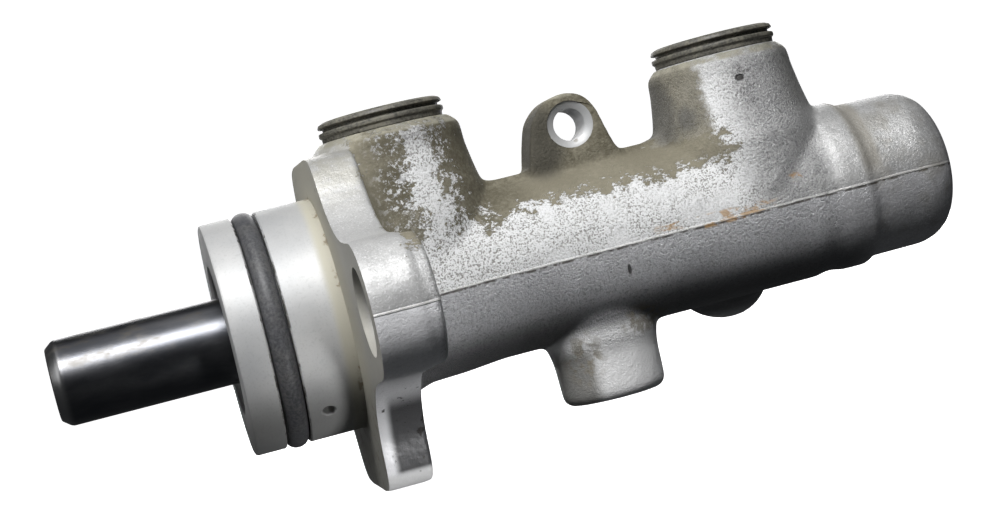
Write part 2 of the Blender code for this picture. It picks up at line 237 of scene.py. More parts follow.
# ================================================================ materials
def cast_metal():
    """Sand-textured casting: clean grey, chalky where it is worn, olive grime on top, painted shade
    underneath and painted light on the lower parts.
    """
    k = Look("cast_aluminium_aged", (0.5, 0.5, 0.5), 0.5, 0.7)
    cloud = k.noise(0.10, 4.0, 0.6)
    flake = k.noise(0.50, 12.0, 0.76, stretch=(0.7, 1.0, 1.1), offset=31.0)
    shreds = k.noise(1.3, 7.0, 0.72, offset=7.0)
    peel = k.noise(2.3, 6.0, 0.70)
    salt = k.noise(3.6, 2.0, 0.6, offset=3.0)
    below = k.ramp(k.z, -0.4, -1.0)

    # clean metal, speckled by the mould's sand
    metal = k.mix(k.ramp(cloud, 0.3, 0.7), (0.38, 0.38, 0.38), (0.50, 0.50, 0.495))
    # painted light: below the parting line the clean metal is a lighter copy, painted lighter against the
    # shade that falls there
    lower_metal_painted_lighter = k.mix(k.ramp(cloud, 0.3, 0.7), (0.48, 0.48, 0.495), (0.60, 0.60, 0.615))
    metal = k.mix(below, metal, lower_metal_painted_lighter)
    # painted light: the flange's ear below the parting line is painted near white
    metal = k.mix(k.times(below, k.ramp(k.x, 10.0, 8.5), 0.95), metal, (0.88, 0.88, 0.90))
    pepper = k.most(k.ramp(peel, 0.49, 0.37), k.times(k.ramp(salt, 0.46, 0.34), 0.7))
    sandy = k.times(k.ramp(k.x, 6.5, 11.5, 0.30, 1.0), k.ramp(k.x, 84.0, 80.0, 0.45, 1.0),
                    k.ramp(k.z, -17.5, -14.5, 0.35, 1.0))
    metal = k.mix(k.times(pepper, sandy, k.blend(below, 0.70, 0.52)), metal, (0.12, 0.12, 0.125))
    metal = k.mix(k.times(k.ramp(salt, 0.57, 0.68), 0.45), metal, (0.86, 0.86, 0.87))

    # where grime lies: signed fields, positive inside
    top = k.least(k.side(k.z, 8.8, 3.0), k.side(k.x, 21.0, 5.0), k.side(k.x, 67.0, -4.0),
                  k.most(k.side(k.z, 13.5, -1.5), k.side(k.x, 57.0, -2.0)))
    centre_line = k.minus(22.0, k.times(k.z, 0.20))
    narrow = k.times(k.math("MAXIMUM", k.minus(k.z, 15.0), 0.0), 0.30)
    patch = k.least(k.side(k.add(k.math("ABSOLUTE", k.minus(k.x, centre_line)), narrow), 4.4, -3.2),
                    k.side(k.y, -4.0, -3.0))
    patch = k.most(patch, k.side(k.reach((25.4, -7.0, 18.5), (3.8, 8.0, 7.0)), 1.05, -0.5))
    boss_one = k.least(k.side(k.z, 7.6, 3.0), k.side(k.x, 7.5, 1.5), k.side(k.x, 28.0, -3.0),
                       k.times(patch, -1.0))
    lug = k.least(k.side(k.z, 12.5, 2.0), k.side(k.x, 34.0, 2.0), k.side(k.x, 54.5, -2.0))
    far = k.add(k.least(k.side(k.y, 5.0, 4.0), k.side(k.z, 3.0, 6.0)), -0.35)
    field = k.most(top, boss_one, lug, far)
    torn = k.add(k.times(k.add(flake, -0.5), 5.0), k.times(k.add(shreds, -0.5), 2.6))
    sharp = k.times(k.ramp(k.add(field, torn), -0.05, 0.07), k.ramp(field, -0.98, -0.75))
    foot = k.times(k.math("MAXIMUM", k.minus(12.5, k.z), 0.0), 0.8)
    boss_two = k.least(k.side(k.minus(k.x, foot), 65.6, -2.2), k.side(k.x, 54.0, 3.0), k.side(k.z, 9.4, 2.0))
    soft = k.times(k.ramp(k.add(boss_two, k.times(torn, 0.40)), -0.35, 0.45), 0.9)
    grime = k.most(sharp, soft)
    flecks = k.times(k.ramp(shreds, 0.530, 0.555), k.ramp(k.noise(0.2, 3.0, 0.6, offset=77.0), 0.34, 0.48),
                     k.ramp(boss_one, 0.0, 0.4), k.ramp(k.x, 8.0, 13.0))
    scored = k.times(k.ramp(k.noise(0.7, 3.0, 0.6, stretch=(0.35, 1.0, 2.6), offset=91.0), 0.70, 0.73),
                     k.ramp(k.x, 60.0, 50.0))
    grime = k.times(grime, k.minus(1.0, k.most(flecks, scored)))

    # the chalky band that the grime has flaked off
    worn = k.times(k.band(k.x, 14.0, 66.0, 7.0), k.ramp(k.z, -0.75, -0.45), k.ramp(k.z, 27.0, 20.0),
                   k.ramp(k.y, 3.0, -3.0))
    worn = k.times(worn, k.ramp(k.add(k.times(cloud, 0.6), k.times(flake, 0.5)), 0.36, 0.48))
    specks = k.ramp(k.add(k.times(salt, 0.6), k.times(peel, 0.4)), 0.505, 0.430)
    clean = k.ramp(k.noise(0.13, 3.0, 0.6, offset=37.0), 0.46, 0.60, 1.0, 0.35)
    chalk = k.mix(k.times(specks, clean, 0.85), (0.80, 0.805, 0.81), (0.18, 0.17, 0.15))
    surface = k.mix(k.times(worn, 0.92), metal, chalk)

    # grime in olive, tan and near black
    tone = k.mix(k.ramp(k.add(k.times(cloud, 0.5), k.times(shreds, 0.5)), 0.40, 0.60),
                 (0.105, 0.094, 0.062), (0.215, 0.198, 0.146))
    pale = k.most(k.least(k.ramp(k.z, 15.0, 12.5), k.ramp(k.x, 30.0, 36.0)), k.ramp(k.x, 11.5, 8.0))
    tone = k.mix(k.times(pale, 0.55), tone, (0.27, 0.248, 0.185))
    black = k.most(k.ramp(k.reach((59.6, -1.0, 18.0), (2.9, 8.0, 6.5)), 1.25, 0.6),
                   k.ramp(k.reach((62.2, -8.5, 16.6), (2.0, 3.0, 2.6)), 1.3, 0.3),
                   k.ramp(k.reach((38.4, -3.0, 19.0), (4.8, 9.0, 7.0)), 1.2, 0.6))
    tone = k.mix(k.times(black, 0.75, k.ramp(flake, 0.25, 0.45)), tone, (0.045, 0.042, 0.034))
    surface = k.mix(grime, surface, tone)
    crown = k.add(k.z, k.times(k.x, 0.0193))
    haze = k.most(k.times(k.ramp(k.x, 9.5, 6.0), k.ramp(k.z, 13.0, 22.0), 0.5),
                  k.times(k.ramp(crown, 25.7, 26.2), 0.9))
    surface = k.mix(k.times(haze, k.ramp(flake, 0.35, 0.55)), surface, (0.33, 0.315, 0.25))

    # painted light and shade: the outlet boss and the lower lobe's tip are painted pale as painted light, the
    # barrel's underside is painted dark as painted shade, the lower lobe's side carries the ear's painted
    # shadow, the outlet boss's left edge is dirty, and boss two's right side is painted darker as painted
    # shade
    outlet = k.times(k.ramp(k.z, -11.0, -14.5),
                     k.ramp(k.reach((41.6, 0.0, -18.0), (9.9, 9.9, 90.0)), 1.04, 0.96))
    # painted light: the outlet boss, which faces the front light, is painted pale and dull
    outlet_painted_light = k.times(k.most(outlet, k.times(k.ramp(k.z, -15.5, -18.5), k.ramp(k.x, 20.0, 24.0))), 0.95)
    # painted light: the lower lobe's tip, which stands out of the ear's shadow, is painted pale
    lobe_tip_painted_light = k.times(k.ramp(k.z, -25.6, -27.0), k.ramp(k.x, 20.0, 10.0))
    # painted shadow: the ear's shadow on the lower lobe's side is painted near black
    lobe_painted_shadow = k.times(k.ramp(k.z, -12.5, -16.0), k.ramp(k.z, -27.0, -25.6), k.ramp(k.x, 11.0, 9.0),
                    k.ramp(k.x, 1.0, 2.4))
    # painted shade: the barrel's underside is painted near black
    underside_painted_shade = k.times(k.ramp(k.z, -7.5, -12.5), k.ramp(k.x, 8.5, 10.5), k.ramp(k.x, 92.0, 84.0), 0.78)
    # painted shade on the underside and the ear's painted shadow on the lower lobe
    surface = k.mix(k.most(underside_painted_shade, k.times(lobe_painted_shadow, 0.94)), surface, (0.035, 0.035, 0.037))
    # painted light on the outlet boss and the lower lobe's tip
    surface = k.mix(k.most(outlet_painted_light, lobe_tip_painted_light), surface, (0.86, 0.86, 0.86))
    left_side = k.times(k.ramp(k.z, -14.5, -17.0), k.band(k.x, 30.0, 36.5, 2.5), 0.8)
    # painted shade: boss two's right side is painted darker where the light falls off
    boss_two_painted_shade = k.times(k.ramp(k.x, 76.5, 81.5), k.ramp(k.z, 13.0, 16.0), k.ramp(k.x, 88.0, 84.0), 0.4)
    # dirt on the outlet boss's left edge, painted shade on boss two's right side
    surface = k.mix(k.most(left_side, boss_two_painted_shade), surface, (0.13, 0.125, 0.11))

    # the parting line: pale flash, a broken dark edge under it, rust along it
    wander = k.times(k.add(k.noise(0.12, 2.0, 0.5, offset=11.0), -0.5), 0.5)
    height = k.add(k.z, 0.62, wander)
    outside = k.most(k.ramp(k.x, 9.0, 10.0), k.ramp(k.y, -44.0, -46.0))
    flash = k.times(k.ramp(k.math("ABSOLUTE", height), 0.26, 0.08), outside)
    seam = k.times(k.band(height, -0.42, -0.22, 0.12), k.ramp(k.x, 9.0, 11.0),
                   k.ramp(k.noise(0.5, 4.0, 0.65, offset=5.0), 0.40, 0.54))
    surface = k.mix(k.times(flash, 0.42), surface, (0.74, 0.73, 0.69))
    surface = k.mix(k.times(seam, 0.85), surface, (0.07, 0.06, 0.045))
    drops = k.ramp(k.noise(0.42, 5.0, 0.6, stretch=(0.8, 1.0, 1.8), offset=51.0), 0.50, 0.60)
    rust = k.times(drops, k.band(k.z, -1.0, 0.7, 0.5), k.band(k.x, 53.0, 70.0, 3.0),
                   k.ramp(k.y, -9.0, -12.0))
    rust = k.most(rust, k.times(drops, k.ramp(k.reach((76.0, -13.5, 2.8), (1.5, 2.0, 1.5)), 1.1, 0.6)))
    surface = k.mix(k.times(rust, 0.75), surface, (0.44, 0.26, 0.10))

    # brown after the collar and at the outlet's root, a thin veil on the closed end
    corner = k.times(k.band(k.x, 88.6, 90.6, 1.6), k.ramp(k.z, -2.0, 3.0), 0.75)
    root = k.times(k.most(k.ramp(k.reach((36.6, -7.0, -17.0), (3.2, 7.0, 4.6)), 1.3, 0.5),
                          k.ramp(k.reach((47.2, -7.0, -13.0), (4.6, 7.0, 2.6)), 1.3, 0.5)),
                   k.ramp(k.noise(0.5, 6.0, 0.66, offset=23.0), 0.44, 0.58))
    veil = k.times(k.ramp(k.x, 84.0, 92.0), k.ramp(k.noise(0.16, 6.0, 0.65, offset=61.0), 0.46, 0.66),
                   0.5)
    surface = k.mix(k.times(k.most(corner, root, veil), 0.75), surface, (0.20, 0.175, 0.125))

    # black marks on the lower lobe, two casting pits, fine cracks round the upper one
    marks = k.times(k.ramp(k.noise(0.6, 5.0, 0.62, stretch=(1.0, 1.0, 0.6), offset=71.0), 0.60, 0.65),
                    k.band(k.x, 1.0, 8.0, 1.0), k.ramp(k.z, -11.0, -14.0), k.ramp(k.z, -28.0, -25.0))
    pit = k.most(k.ramp(k.reach((71.7, -12.1, 21.0), (0.75, 3.0, 0.55)), 1.2, 0.7),
                 k.ramp(k.reach((46.0, -13.4, -4.6), (0.3, 3.0, 0.9)), 1.2, 0.6))
    vein = k.math("ABSOLUTE", k.add(k.noise(0.5, 6.0, 0.7, offset=83.0), -0.5))
    cracks = k.times(k.ramp(vein, 0.020, 0.006),
                     k.ramp(k.reach((72.5, -12.0, 20.0), (2.4, 6.0, 5.5)), 1.1, 0.5))
    surface = k.mix(k.most(k.times(marks, 0.95), k.times(pit, 0.9), k.times(cracks, 0.7)), surface,
                    (0.025, 0.022, 0.02))

    soiled = k.most(grime, k.times(rust, 0.8), k.times(root, 0.7), k.times(corner, 0.6))
    rough = k.add(k.blend(soiled, k.blend(worn, 0.40, 0.50), 0.80), k.times(peel, 0.14), -0.07)
    dull = k.most(worn, outlet_painted_light, k.times(k.ramp(k.x, 10.0, 8.5), 0.6))
    metallic = k.blend(soiled, k.blend(dull, 0.42, 0.15), 0.0)
    k.bump(k.noise(0.30, 2.0, 0.5, offset=41.0), 0.22)
    k.bump(flash, 0.12)
    k.bump(k.times(k.add(peel, k.times(salt, 0.4)), sandy, k.blend(below, 1.0, 1.5)), 0.27)
    k.bump(grime, 0.05)
    k.bump(pit, -0.25)
    return k.set(Base_Color=surface, Roughness=rough, Metallic=metallic)


def machined_metal():
    """Turned and faced aluminium: fine tool rings, a dull film at the flange, brown in the corners, painted
    shade in the bore and towards the bottom.
    """
    k = Look("aluminium_machined", (0.62, 0.62, 0.62), 0.36, 0.85)
    rings = k.noise(9.0, 2.0, 0.5, stretch=(1.0, 0.02, 0.02))
    cloud = k.noise(0.09, 4.0, 0.55, offset=9.0)
    fine = k.noise(2.6, 3.0, 0.6, offset=29.0)
    torn = k.noise(0.35, 8.0, 0.68, offset=17.0)
    radius = k.math("SQRT", k.add(k.times(k.y, k.y), k.times(k.z, k.z)))
    colour = k.mix(k.ramp(cloud, 0.3, 0.7), (0.41, 0.415, 0.42), (0.49, 0.49, 0.485))
    colour = k.mix(k.times(k.ramp(fine, 0.46, 0.36), 0.25), colour, (0.30, 0.30, 0.30))
    film = k.times(k.band(k.x, -1.3, 0.6, 1.5), k.ramp(radius, 18.2, 19.0), k.ramp(torn, 0.15, 0.42),
                   k.ramp(radius, 34.0, 24.0, 0.6, 1.0))
    colour = k.mix(k.times(film, 0.85), colour, (0.42, 0.40, 0.32))
    brown = k.times(k.ramp(torn, 0.53, 0.62), k.band(k.x, -0.5, 0.6, 0.5),
                    k.most(k.ramp(k.z, -10.0, -16.0), k.ramp(radius, 20.4, 19.2)))
    colour = k.mix(k.times(brown, 0.75), colour, (0.17, 0.13, 0.075))
    lip = k.times(k.most(k.band(k.x, -9.1, -8.95, 0.12), k.band(k.x, -13.15, -13.0, 0.12)),
                  k.ramp(torn, 0.50, 0.56), k.ramp(radius, 18.0, 18.7))
    colour = k.mix(k.times(lip, 0.8), colour, (0.06, 0.055, 0.045))
    nicks = k.ramp(k.cells(0.16, 0.0, 13.0), 0.085, 0.05)
    colour = k.mix(k.times(nicks, 0.6, k.ramp(radius, 17.0, 18.0)), colour, (0.16, 0.14, 0.11))
    # painted shade: the bore and the faces round it are painted darker
    bore_painted_shade = k.ramp(radius, 13.4, 12.6)
    colour = k.mix(k.times(bore_painted_shade, 0.35), colour, (0.26, 0.26, 0.26))
    # painted shade: the machined faces are painted darker towards the bottom
    colour = k.mix(k.times(k.ramp(k.z, -7.0, -16.0), 0.6), colour, (0.13, 0.13, 0.125))
    k.bump(rings, 0.006)
    k.bump(fine, 0.015)
    return k.set(Base_Color=colour, Roughness=k.add(k.times(rings, 0.10), k.times(film, 0.15), 0.47),
                 Metallic=k.blend(film, 0.30, 0.12))


def rod_steel():
    """Ground and polished steel that reflects a dark room, with a worn end."""
    k = Look("rod_steel", (0.07, 0.07, 0.075), 0.14, 1.0)
    rings = k.noise(11.0, 2.0, 0.5, stretch=(1.0, 0.03, 0.03))
    wear = k.noise(0.22, 5.0, 0.6, stretch=(0.35, 1.0, 1.0), offset=6.0)
    colour = k.mix(k.ramp(wear, 0.35, 0.7), (0.085, 0.088, 0.098), (0.135, 0.137, 0.145))
    edge = k.ramp(k.x, -43.8, -45.2)
    colour = k.mix(k.times(edge, 0.6), colour, (0.42, 0.42, 0.42))
    oil = k.times(k.ramp(k.noise(0.4, 6.0, 0.65, stretch=(0.5, 1.0, 1.0), offset=14.0), 0.48, 0.68),
                  k.ramp(k.z, -1.0, 4.0))
    colour = k.mix(k.times(oil, 0.45), colour, (0.13, 0.115, 0.085))
    k.bump(rings, 0.003)
    return k.set(Base_Color=colour, Roughness=k.add(k.times(wear, 0.16), k.times(oil, 0.14), 0.25))


def rubber(name, dark, dusty, amount, dust_tone=(0.19, 0.18, 0.145)):
    """Moulded rubber with as much dust as amount says, from 0 to 1."""
    k = Look(name, dark, 0.6, 0.0, 0.4)
    fine = k.noise(2.2, 5.0, 0.65)
    wide = k.noise(0.25, 5.0, 0.6, offset=19.0)
    dust = k.times(k.ramp(k.add(k.times(wide, 0.7), k.times(fine, 0.45)), 0.52, 0.72), amount)
    colour = k.mix(dust, k.mix(k.ramp(fine, 0.3, 0.7), dark, dusty), dust_tone)
    k.bump(fine, 0.03)
    return k.set(Base_Color=colour, Roughness=k.blend(dust, 0.46, 0.9))


def turned_steel(name, colour, roughness, metallic=1.0):
    """Turned, plated or drawn metal with fine rings round the bore axis."""
    k = Look(name, colour, roughness, metallic)
    rings = k.noise(6.0, 3.0, 0.5, stretch=(1.0, 0.1, 0.1))
    cloud = k.noise(0.3, 4.0, 0.6)
    dark, light = (tuple(min(1.0, share * c) for c in colour) for share in (0.8, 1.15))
    shade = k.mix(k.ramp(cloud, 0.3, 0.7), dark, light)
    k.bump(rings, 0.006)
    return k.set(Base_Color=shade, Roughness=k.add(k.times(cloud, 0.2), roughness - 0.1))


def plastic(name, colour):
    """Moulded plastic with a fine grain."""
    k = Look(name, colour, 0.45)
    fine = k.noise(1.8, 4.0, 0.6)
    k.bump(fine, 0.02)
    return k.set(Base_Color=k.mix(fine, tuple(0.7 * c for c in colour), tuple(1.4 * c for c in colour)),
                 Roughness=k.add(k.times(fine, 0.2), 0.38))


CAST = cast_metal()
MACHINED = machined_metal()
ROD = rod_steel()
O_RING = rubber("o_ring_rubber", (0.040, 0.041, 0.045), (0.085, 0.086, 0.092), 0.12)
GROMMET = rubber("grommet_rubber", (0.050, 0.048, 0.040), (0.150, 0.144, 0.122), 0.85)
SEAL = rubber("seal_rubber", (0.012, 0.012, 0.014), (0.03, 0.03, 0.032), 0.0)
ZINC = turned_steel("zinc_plated_steel", (0.56, 0.55, 0.50), 0.36)
SPRING = turned_steel("spring_wire", (0.24, 0.24, 0.25), 0.36)
ANODISED = turned_steel("hard_anodised", (0.34, 0.35, 0.34), 0.40, 0.8)
NYLON = plastic("black_nylon", (0.03, 0.03, 0.033))


# ================================================================ mesh helpers
def made(name, bm, looks, smooth_angle=35.0):
    """A shown object from a bmesh in millimetres."""
    bmesh.ops.scale(bm, vec=(MM, MM, MM), verts=bm.verts)
    mesh = bpy.data.meshes.new(name)
    bm.to_mesh(mesh)
    bm.free()
    for look in looks:
        mesh.materials.append(look)
    mesh.shade_smooth()
    mesh.set_sharp_from_angle(angle=math.radians(smooth_angle))
    obj = bpy.data.objects.new(name, mesh)
    bpy.context.scene.collection.objects.link(obj)
    return obj


def rounded(profile, corners):
    """The profile with arcs at its corners: corners gives the radius for a point's number."""
    points = []
    count = len(profile)
    for number, here in enumerate(profile):
        radius = corners.get(number, 0.0)
        if not radius:
            points.append(here)
            continue
        here = np.array(here)
        before = np.array(profile[number - 1]) - here
        after = np.array(profile[(number + 1) % count]) - here
        a, b = before / np.linalg.norm(before), after / np.linalg.norm(after)
        half = math.acos(max(-1.0, min(1.0, float(a @ b)))) / 2
        reach = min(radius / math.tan(half), 0.48 * np.linalg.norm(before), 0.48 * np.linalg.norm(after))
        for step in range(7):
            t = step / 6
            points.append(tuple(here + a * reach * (1 - t) ** 2 + b * reach * t ** 2))
    return points


def spun(profile, steps=144):
    """A closed bmesh: (height, radius) points turned round the Z axis."""
    bm = bmesh.new()
    rings = []
    for height, radius in profile:
        if radius < 1e-6:
            rings.append([bm.verts.new((0.0, 0.0, height))] * steps)
        else:
            rings.append([bm.verts.new((radius * math.cos(a), radius * math.sin(a), height))
                          for a in np.linspace(0.0, 2 * math.pi, steps, endpoint=False)])
    for here, there in zip(rings, rings[1:] + rings[:1]):
        for step in range(steps):
            after = (step + 1) % steps
            corners = list(dict.fromkeys((here[step], there[step], there[after], here[after])))
            if len(corners) > 2:
                bm.faces.new(corners)
    bmesh.ops.recalc_face_normals(bm, faces=bm.faces)
    return bm


def plug(low, high, radius, steps):
    """A plain cylinder along Z."""
    return spun([(low, 0.0), (low, radius), (high, radius), (high, 0.0)], steps)


ALONG = Matrix.Rotation(math.radians(90.0), 4, "Y")        # turns Z to the bore axis
ACROSS = Matrix.Rotation(math.radians(-90.0), 4, "X")      # turns Z to the lug hole's axis


def down(tilt):
    """Turns Z to point down, leaning towards +Y by tilt degrees."""
    return Matrix.Rotation(math.radians(180.0 + tilt), 4, "X")


def moved(bm, *matrices):
    for matrix in matrices:
        bmesh.ops.transform(bm, matrix=matrix, verts=bm.verts)
    return bm


def shifted(x=0.0, y=0.0, z=0.0):
    return Matrix.Translation((x, y, z))


def slab(outline, low, high, axis):
    """An outline of (across, up) points from low to high along X or Y."""
    bm = bmesh.new()
    rings = [[bm.verts.new((depth, a, b) if axis == "X" else (a, depth, b)) for a, b in outline]
             for depth in (low, high)]
    for ring in rings:
        bm.faces.new(ring)
    for step in range(len(outline)):
        after = (step + 1) % len(outline)
        bm.faces.new((rings[0][step], rings[0][after], rings[1][after], rings[1][step]))
    bmesh.ops.recalc_face_normals(bm, faces=bm.faces)
    bmesh.ops.triangulate(bm, faces=bm.faces)
    return bm


def curved(points, per=8):
    """A closed smooth curve through the points."""
    count = len(points)
    found = []
    for number in range(count):
        a, b, c, d = (np.array(points[(number + k) % count]) for k in (-1, 0, 1, 2))
        for t in np.linspace(0.0, 1.0, per, endpoint=False):
            found.append(tuple(0.5 * (2 * b + (c - a) * t + (2 * a - 5 * b + 4 * c - d) * t ** 2
                                      + (3 * b - a - 3 * c + d) * t ** 3)))
    return found


def merged(parts):
    """One bmesh of all the parts, which are freed."""
    bm = bmesh.new()
    for part in parts:
        mesh = bpy.data.meshes.new("part")
        part.to_mesh(mesh)
        part.free()
        bm.from_mesh(mesh)
        bpy.data.meshes.remove(mesh)
    return bm


def aimed(way):
    """Turns Z to point along way."""
    return way.to_track_quat("Z", "Y").to_matrix().to_4x4()


def cutter(name, bm):
    """An object for boolean(), which removes it again."""
    obj = made(name, bm, [MACHINED])
    obj.hide_render = True
    return obj


def baked(obj):
    """Applies the object's modifiers."""
    bpy.context.view_layer.update()
    graph = bpy.context.evaluated_depsgraph_get()
    mesh = bpy.data.meshes.new_from_object(obj.evaluated_get(graph))
    obj.modifiers.clear()
    obj.data = mesh


def boolean(obj, tools, operation):
    for tool in tools:
        step = obj.modifiers.new(tool.name, "BOOLEAN")
        step.operation = operation
        step.solver = "MANIFOLD"
        step.object = tool
    baked(obj)
    for tool in tools:
        bpy.data.objects.remove(tool)


# ================================================================ cylinder body: the casting
PORTS = ((14.8, 26.3, 12.3), (71.9, 25.2, 11.9))        # x, top, radius outside
OUTLETS = ((41.6, 0.0, 24.5), (68.0, 60.0, 22.0))       # x, tilt, distance of its face from the bore axis
LUG_HOLE = (44.2, 20.5)                                 # x, z
LUG_SPOT = (45.2, 19.2)                                 # x, z of the spot face round the hole
STUDS = (-42.4, 42.4)                                   # y
SPIGOT_R, O_RING_FLOOR = 19.0, 16.4
BORE_R, RELIEF_R, GROOVE_R, GUIDE_R = 9.525, 10.3, 11.7, 12.0
SEAT_R = 9.5                                            # inside a reservoir seat
THREAD_R, THREAD_DEPTH, PITCH = 4.55, 0.45, 1.0
STUD_HOLE_R, LUG_HOLE_R, LUG_RING_R = 6.5, 2.65, 3.85

# the barrel, with its collar and domed closed end
parts = [moved(spun([
    (1.0, 0.0), (1.0, 18.0), (7.0, 17.5), (9.4, 15.8), (12.4, 14.8), (18.0, 14.6), (25.0, 14.0),
    (79.5, 14.0), (81.2, 13.55), (82.8, 13.6), (84.4, 14.0), (88.3, 14.0), (89.4, 13.05),
    (98.9, 13.0), (101.2, 12.3), (102.9, 11.1), (104.0, 9.4), (104.6, 7.6), (104.8, 5.4),
    (104.8, 0.0)], 160), ALONG)]
# the flange, and a pad round each stud hole
half = [(-4.0, 24.9), (-8.0, 24.9), (-12.4, 24.7), (-15.8, 24.0), (-18.0, 22.5), (-19.7, 20.3), (-21.4, 17.7),
        (-24.2, 14.9), (-28.2, 12.4), (-33.0, 11.0), (-37.5, 10.5), (-41.5, 10.3), (-45.6, 9.8), (-49.2, 7.9),
        (-51.8, 4.5), (-52.7, 0.0), (-51.8, -4.5), (-49.2, -7.9), (-45.6, -9.8), (-41.5, -10.4),
        (-37.0, -10.8), (-32.2, -11.7), (-27.4, -13.9), (-23.2, -16.8), (-20.2, -20.4), (-18.6, -24.0),
        (-17.0, -26.8), (-14.2, -28.5), (-9.6, -29.0), (-3.0, -29.0)]
outline = curved(half + [(-y, z) for y, z in reversed(half)], 5)
parts.append(slab(outline, -0.6, 7.3, "X"))
for y in STUDS:
    parts.append(moved(spun([
        (1.0, 0.0), (1.0, 9.9), (9.6, 9.8), (10.0, 9.3), (10.0, 0.0)], 96), ALONG, shifted(y=y)))
# reservoir seats and outlets
for x, top, radius in PORTS:
    parts.append(moved(spun([
        (2.0, 0.0), (2.0, 14.2), (11.0, 14.2), (14.6, radius + 1.4), (18.0, radius + 0.7),
        (22.0, radius + 0.1), (top - 1.5, radius + 0.05), (top - 0.7, radius - 0.1),
        (top + 0.9, radius - 1.8), (top + 0.9, 0.0)], 128), shifted(x=x)))
for x, tilt, end in OUTLETS:
    parts.append(moved(spun([
        (4.0, 0.0), (4.0, 9.9), (14.2, 9.5), (16.2, 8.95), (18.0, 8.75), (end - 1.1, 8.6), (end - 0.3, 8.1),
        (end + 0.2, 7.2), (end + 0.2, 0.0)], 96), down(tilt), shifted(x=x)))
# the lug, and the web that runs to it from both seats
lug = [(34.0, 9.0), (35.6, 13.0), (36.3, 16.0), (37.2, 19.5), (38.4, 22.6), (40.9, 24.9), (44.2, 25.7),
       (47.2, 24.8), (49.0, 22.3), (50.0, 18.5), (51.2, 14.8), (53.5, 12.0), (54.0, 8.0), (44.0, 6.0)]
parts.append(slab(curved(lug, 6), -4.7, 4.7, "Y"))
parts.append(slab([(18.0, 8.0), (21.0, 17.5), (24.5, 15.6), (30.0, 14.7), (56.0, 14.7), (61.5, 15.8),
                   (65.0, 18.0), (68.0, 8.0)], -3.6, 3.6, "Y"))

# one skin, with every inside corner rounded as a casting's is
body = made("cylinder_body_surface", merged(parts), [CAST, MACHINED])
remesh = body.modifiers.new("cast", "REMESH")
remesh.mode = "VOXEL"
remesh.voxel_size = 0.00042
soften = body.modifiers.new("soften", "SMOOTH")
soften.factor = 0.5
soften.iterations = 18
baked(body)

# ================================================================ cylinder body: machining
behind = slab([(-70.0, -50.0), (70.0, -50.0), (70.0, 50.0), (-70.0, 50.0)], -30.0, 0.0, "X")
boolean(body, [cutter("rear_face", behind)], "DIFFERENCE")
spigot = cutter("spigot", moved(spun([
    (2.0, 0.0), (2.0, SPIGOT_R), (-8.9, SPIGOT_R), (-9.1, 18.8), (-9.1, O_RING_FLOOR),
    (-13.0, O_RING_FLOOR), (-13.0, 18.8), (-13.2, SPIGOT_R), (-17.6, SPIGOT_R), (-17.95, 18.85),
    (-18.1, 18.5), (-18.1, 0.0)], 288), ALONG))
boolean(body, [spigot], "UNION")

# the stepped bore: the guide's part, then a groove and a relief for each seal round the pistons
bore = [(-19.1, 0.0), (-19.1, 13.4), (-17.7, GUIDE_R), (-16.3, GUIDE_R), (-16.3, 13.0), (-14.9, 13.0),
        (-14.9, GUIDE_R), (1.1, GUIDE_R), (1.1, BORE_R), (7.0, BORE_R), (7.6, RELIEF_R), (21.3, RELIEF_R),
        (21.9, BORE_R)]
for low, high, start, end in ((23.0, 26.4, 27.5, 48.4), (50.2, 53.4, 54.6, 57.8), (59.2, 62.8, 64.6, 92.0)):
    bore += [(low, BORE_R), (low, GROOVE_R), (high, GROOVE_R), (high, BORE_R),
             (start, BORE_R), (start + 0.4, RELIEF_R), (end - 0.4, RELIEF_R), (end, BORE_R)]
bore += [(96.5, BORE_R), (96.5, 0.0)]
cuts = [cutter("bore", moved(spun(bore, 144), ALONG))]
weep = Vector((0.0, -12.6, -14.2)).normalized()
cuts.append(cutter("weep", moved(spun([
    (11.0, 0.0), (11.0, 1.0), (18.75, 1.0), (19.3, 1.5), (19.3, 0.0)], 32), aimed(weep), shifted(x=-5.9))))
for y in STUDS:
    cuts.append(cutter("stud_hole", moved(spun([
        (-1.0, 0.0), (-1.0, 7.2), (-0.2, 6.8), (0.3, STUD_HOLE_R), (9.5, STUD_HOLE_R), (10.4, 7.4),
        (10.4, 0.0)], 96), ALONG, shifted(y=y))))
for x, top, _ in PORTS:
    cuts.append(cutter("socket", moved(spun([
        (15.8, 0.0), (15.8, SEAT_R), (top, SEAT_R), (top + 0.6, 10.1), (top + 0.6, 14.6), (top + 2.0, 14.6),
        (top + 2.0, 0.0)], 128), shifted(x=x))))
cuts.append(cutter("feed_one", moved(plug(9.6, 17.0, 2.4, 32), shifted(x=12.4))))
slant = Vector((10.3, 0.0, 6.8))
cuts.append(cutter("feed_two", moved(
    plug(0.0, slant.length, 1.3, 32), aimed(slant), shifted(56.3, 0.0, 9.9))))
for x, tilt, end in OUTLETS:
    # the flare seat's cone, then the thread
    port = [(8.6, 0.0), (8.6, 1.4), (15.2, 1.4), (13.55, 3.1), (13.55, THREAD_R)]
    height = 14.6
    crest = THREAD_R + THREAD_DEPTH
    while height < end - 1.6:
        port += [(height, THREAD_R), (height + 0.45, crest), (height + 0.55, crest),
                 (height + 0.95, THREAD_R)]
        height += PITCH
    port += [(end - 0.9, THREAD_R), (end + 0.4, 5.9), (end + 0.4, 0.0)]
    cuts.append(cutter("outlet", moved(spun(port, 96), down(tilt), shifted(x=x))))
    cuts.append(cutter("outlet_face", moved(plug(end, end + 2.0, 12.0, 64), down(tilt), shifted(x=x))))
